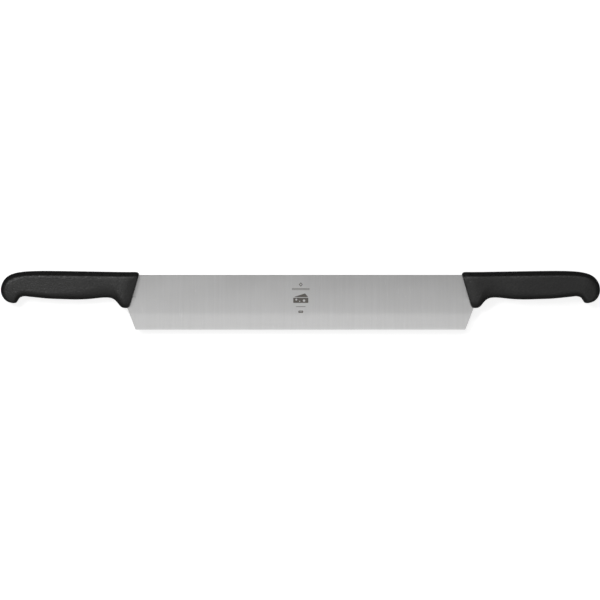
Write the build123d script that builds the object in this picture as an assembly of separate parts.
from build123d import *
import math
import os

# Two-handled cheese knife: one long straight stainless blade with a tang at each end, and a moulded
# butcher's handle with a finger guard and a hooked butt on each tang.
#
# Row frame, millimetres: the knife lies on its side. +X runs along the blade to the right-hand handle,
# +Y from the cutting edge to the spine, +Z up, square to the blade's flank. The origin is the centre of
# the underside of the bounding box: the middle of the knife, on the surface that it lies on.
#
# Sketch coordinates used below: x is the distance outwards from the knife's middle, y the height above
# the cutting edge, z the distance from the blade's mid-plane.

# ---------------------------------------------------------------- driving dimensions
EDGE_LENGTH = 360.0          # length of the cutting edge
BLADE_HEIGHT = 59.8          # cutting edge to spine
END_SLOPE = 0.381            # outward lean of the blade's ends, x per y
STOCK = 2.4                  # sheet thickness, kept at the spine and in the tangs
SHOULDER_Y = 17.5            # where the upper grind meets the edge grind
SHOULDER_THICKNESS = 1.7     # blade thickness at that shoulder
APEX_Y = 1.5                 # height of the sharpened bevel
APEX_THICKNESS = 0.42        # thickness behind the sharpened bevel
EDGE_LAND = 0.06             # width of the cutting edge itself
SPINE_EASE = 0.3             # eased corners along the spine

HEEL_Y = 36.0                # the blade's ends lean out as far as this, inside the handles
SPINE_END = 185.0            # the spine stops here, inside the handles
GRIND_END = 192.0            # the blade is ground as far as this, inside the handles
TANG_LOW, TANG_HIGH = 41.0, 57.0     # the tang's lower and upper edges
TANG_END = 285.0                     # how far the tang reaches into the handle
TANG_HOLES = (207.0, 236.0, 265.0)   # the handle's plastic runs through these
TANG_HOLE_R = 4.0

HANDLE_HALF_THICKNESS = 11.0         # the flat side panels lie at this distance from the mid-plane
HANDLE_TOP = 64.26                   # highest point of the handles above the cutting edge
CROWN = 0.45                         # rise of the crowned top strip
BELLY_FULLNESS = 0.9                 # below 1 fills out the curve of the belly

# The handle's stations, from the blade end to the tip of the hook. Each is a section through a point of
# the outer line (top, butt, hook) and one of the inner line (guard, belly, inside of the hook), square
# to the blade. After the two points: half thickness of the side, half width of the top strip, width of
# the slanted shoulder, half thickness at its lower edge, length of the rounding below it, and length of
# the rounding towards the belly.
STATIONS = [
    # outer x, y      inner x, y      side  strip shoulder ridge  round belly
    (176.15, 60.30,   186.10, 26.10,   7.40, 3.30, 3.20,  6.30,  6.0,  7.0),
    (176.60, 61.60,   186.80, 24.95,   7.95, 3.80, 3.90,  6.95,  6.0,  7.4),
    (177.80, 62.60,   188.10, 24.05,   8.50, 4.15, 4.35,  7.45,  6.0,  7.8),
    (180.20, 63.02,   190.30, 23.70,   9.20, 4.35, 4.60,  8.05,  6.0,  8.2),
    (184.50, 63.03,   193.40, 24.00,  10.05, 4.50, 4.70,  8.75,  6.0,  8.8),
    (189.50, 63.03,   196.40, 25.60,  10.40, 4.55, 4.70,  9.05,  6.0, 10.0),
    (194.80, 63.06,   199.30, 29.00,  10.32, 4.60, 4.70,  9.00,  6.0, 12.0),
    (200.20, 63.12,   202.70, 32.60,  10.15, 4.60, 4.70,  8.90,  6.0, 14.0),
    (205.80, 63.20,   206.70, 34.60,  10.00, 4.60, 4.70,  8.80,  6.0, 15.4),
    (211.50, 63.29,   211.60, 35.20,   9.95, 4.60, 4.70,  8.80,  6.0, 15.6),
    (218.50, 63.41,   218.50, 34.86,  10.00, 4.65, 4.70,  8.85,  6.0, 14.2),
    (227.50, 63.56,   227.50, 33.85,  10.30, 4.70, 4.70,  9.10,  6.0, 11.6),
    (238.50, 63.76,   238.50, 33.16,  10.70, 4.80, 4.70,  9.40,  6.0,  9.2),
    (250.00, 63.95,   250.00, 33.12,  11.00, 4.90, 4.70,  9.65,  6.0,  8.2),
    (262.00, 64.11,   262.00, 33.50,  11.18, 5.00, 4.70,  9.80,  6.0,  7.8),
    (274.00, 64.25,   273.00, 33.90,  11.25, 5.05, 4.65,  9.85,  6.0,  7.4),
    (285.00, 64.22,   283.00, 34.72,  11.25, 5.05, 4.60,  9.85,  6.0,  7.4),
    (294.00, 63.97,   291.50, 35.62,  11.25, 5.00, 4.55,  9.80,  6.0,  7.4),
    (301.50, 63.48,   297.50, 36.28,  11.22, 4.90, 4.50,  9.70,  6.0,  7.3),
    (308.50, 62.50,   301.20, 36.58,  11.15, 4.75, 4.45,  9.55,  5.9,  7.2),
    (314.60, 60.85,   303.70, 36.18,  11.05, 4.55, 4.35,  9.35,  5.8,  7.0),
    (319.80, 58.10,   305.40, 35.55,  10.90, 4.30, 4.20,  9.05,  5.6,  6.7),
    (323.60, 54.25,   306.50, 34.75,  10.65, 4.05, 4.05,  8.70,  5.3,  6.4),
    (326.05, 49.40,   307.30, 33.75,  10.30, 3.80, 3.90,  8.30,  5.0,  6.0),
    (327.12, 43.70,   307.95, 32.75,   9.85, 3.55, 3.75,  7.85,  4.6,  5.6),
    (326.35, 38.80,   308.50, 31.85,   9.30, 3.25, 3.55,  7.30,  4.2,  5.2),
    (324.10, 34.45,   309.00, 31.05,   8.60, 2.95, 3.20,  6.70,  3.7,  4.6),
    (320.90, 31.35,   309.50, 30.30,   7.70, 2.60, 2.70,  5.90,  3.1,  3.8),
    (317.30, 29.75,   310.10, 29.70,   6.50, 2.20, 2.00,  4.90,  2.3,  2.7),
    (314.30, 29.12,   311.10, 29.30,   4.90, 1.70, 1.10,  3.70,  0.9,  1.1),
]

os.makedirs("parts", exist_ok=True)


# ---------------------------------------------------------------- the blade
def blade():
    """One stamped and ground blank: the blade with a pierced tang at each end."""
    half = EDGE_LENGTH / 2
    heel_x = half + END_SLOPE * HEEL_Y
    right = [
        (half, 0.0),
        (heel_x, HEEL_Y),
        (heel_x, TANG_LOW),
        (TANG_END, TANG_LOW),
        (TANG_END, TANG_HIGH),
        (SPINE_END + 2.5, TANG_HIGH),
        (SPINE_END, BLADE_HEIGHT),
    ]
    radii = [0, 4.0, 3.0, 5.0, 5.0, 2.0, 1.5]
    face = make_face(Polyline(*right, *[(-x, y) for x, y in reversed(right)], close=True))
    for (x, y), r in zip(right, radii):
        if r:
            for s in (1, -1):
                corner = face.vertices().sort_by_distance((s * x, y, 0))[0]
                face = fillet(corner, r)
    blank = Pos(0, 0, -STOCK / 2) * extrude(face, STOCK)
    for x in TANG_HOLES:
        for s in (1, -1):
            blank -= Pos(s * x, (TANG_LOW + TANG_HIGH) / 2, 0) * Cylinder(TANG_HOLE_R, 3 * STOCK)
    # Section across the ground blade, thickness against height. The tangs stay as thick as the sheet.
    t0, t1, t2, t3 = STOCK / 2, SHOULDER_THICKNESS / 2, APEX_THICKNESS / 2, EDGE_LAND / 2
    side = [
        (0.0, t3),
        (APEX_Y, t2),
        (SHOULDER_Y, t1),
        (BLADE_HEIGHT - SPINE_EASE, t0),
        (BLADE_HEIGHT, t0 - SPINE_EASE),
    ]
    section = make_face(Polyline(*side, *[(y, -t) for y, t in reversed(side)], close=True))
    run = Plane(origin=(-GRIND_END, 0, 0), x_dir=(0, 1, 0), z_dir=(1, 0, 0))
    ground = blank & extrude(run * section, 2 * GRIND_END)
    reach = TANG_END + 5 - GRIND_END
    for s in (1, -1):
        ground += blank & (Pos(s * (GRIND_END + reach / 2), 49, 0) * Box(reach, 24, 2 * STOCK))
    return ground


# ---------------------------------------------------------------- a handle
SIDE_POINTS = 22             # points down each side of a section, evenly spaced along it


def side_profile(h, side, shoulder, ridge, above, below):
    """Side of a section as (depth, half thickness): quarter round below the shoulder, flat, round belly."""
    fine = []
    for i in range(41):
        t = i / 40
        fine.append((shoulder + above * t, ridge + (side - ridge) * math.sqrt(1 - (1 - t) ** 2)))
    for i in range(1, 120):
        a = math.radians(90 * i / 120)
        fine.append((h - below + below * math.sin(a), side * math.cos(a) ** BELLY_FULLNESS))
    fine.append((h, 0.0))
    run = [0.0]
    for p, q in zip(fine, fine[1:]):
        run.append(run[-1] + math.hypot(q[0] - p[0], q[1] - p[1]))
    even, k = [fine[0]], 0
    for i in range(1, SIDE_POINTS - 1):
        goal = run[-1] * i / (SIDE_POINTS - 1)
        while run[k + 1] < goal:
            k += 1
        t = (goal - run[k]) / (run[k + 1] - run[k])
        even.append(tuple(fine[k][j] + (fine[k + 1][j] - fine[k][j]) * t for j in (0, 1)))
    return even + [fine[-1]]


def section(station):
    """Closed section of the handle at one station, as five edges: strip, shoulder, side, side, shoulder."""
    ax, ay, bx, by, side, strip, shoulder, ridge, above, below = station
    h = math.hypot(bx - ax, by - ay)
    ux, uy = (bx - ax) / h, (by - ay) / h

    def at(d, z):
        return Vector(ax + ux * d, ay + uy * d, z)

    prof = side_profile(h, side, shoulder, ridge, above, below)
    knots = [i / (SIDE_POINTS - 1) for i in range(SIDE_POINTS)]
    crown = min(CROWN, 0.14 * h)
    mid_d, mid_z = (crown + shoulder) / 2, (strip + ridge) / 2
    edges = [
        Edge.make_three_point_arc(at(crown, -strip), at(0, 0), at(crown, strip)),
        Edge.make_three_point_arc(at(crown, strip), at(mid_d - 0.16, mid_z + 0.16), at(shoulder, ridge)),
        Edge.make_spline([at(d, z) for d, z in prof], parameters=knots),
        Edge.make_spline([at(d, -z) for d, z in reversed(prof)], parameters=knots),
        Edge.make_three_point_arc(at(shoulder, -ridge), at(mid_d - 0.16, -mid_z - 0.16), at(crown, -strip)),
    ]
    return Wire(edges)


def handle():
    """The right-hand handle as moulded, with the blade and its tang still to be taken out of it."""
    body = Solid.make_loft([section(s) for s in STATIONS])
    keep = Pos(250, 45, 0) * Box(220, 80, 2 * HANDLE_HALF_THICKNESS)
    return body & keep


def place(shape):
    """From sketch coordinates to the row frame."""
    return Pos(0, -HANDLE_TOP / 2, HANDLE_HALF_THICKNESS) * shape


if __name__ == "__main__":
    steel = blade()
    right = handle()
    # Both handles come from the same mould: the left one is the right one turned over, end for end.
    left = Rot(0, 180, 0) * right
    print("blade", steel.is_valid, round(steel.volume), "handle", right.is_valid, round(right.volume))
    parts = {
        "blade": steel,
        "right_handle": right - steel,
        "left_handle": left - steel,
    }
    for name, shape in parts.items():
        shape = place(shape)
        solids = shape.solids()
        print(name, len(solids), shape.is_valid, [round(s.volume) for s in solids], shape.bounding_box())
        export_step(shape, f"parts/{name}.step")
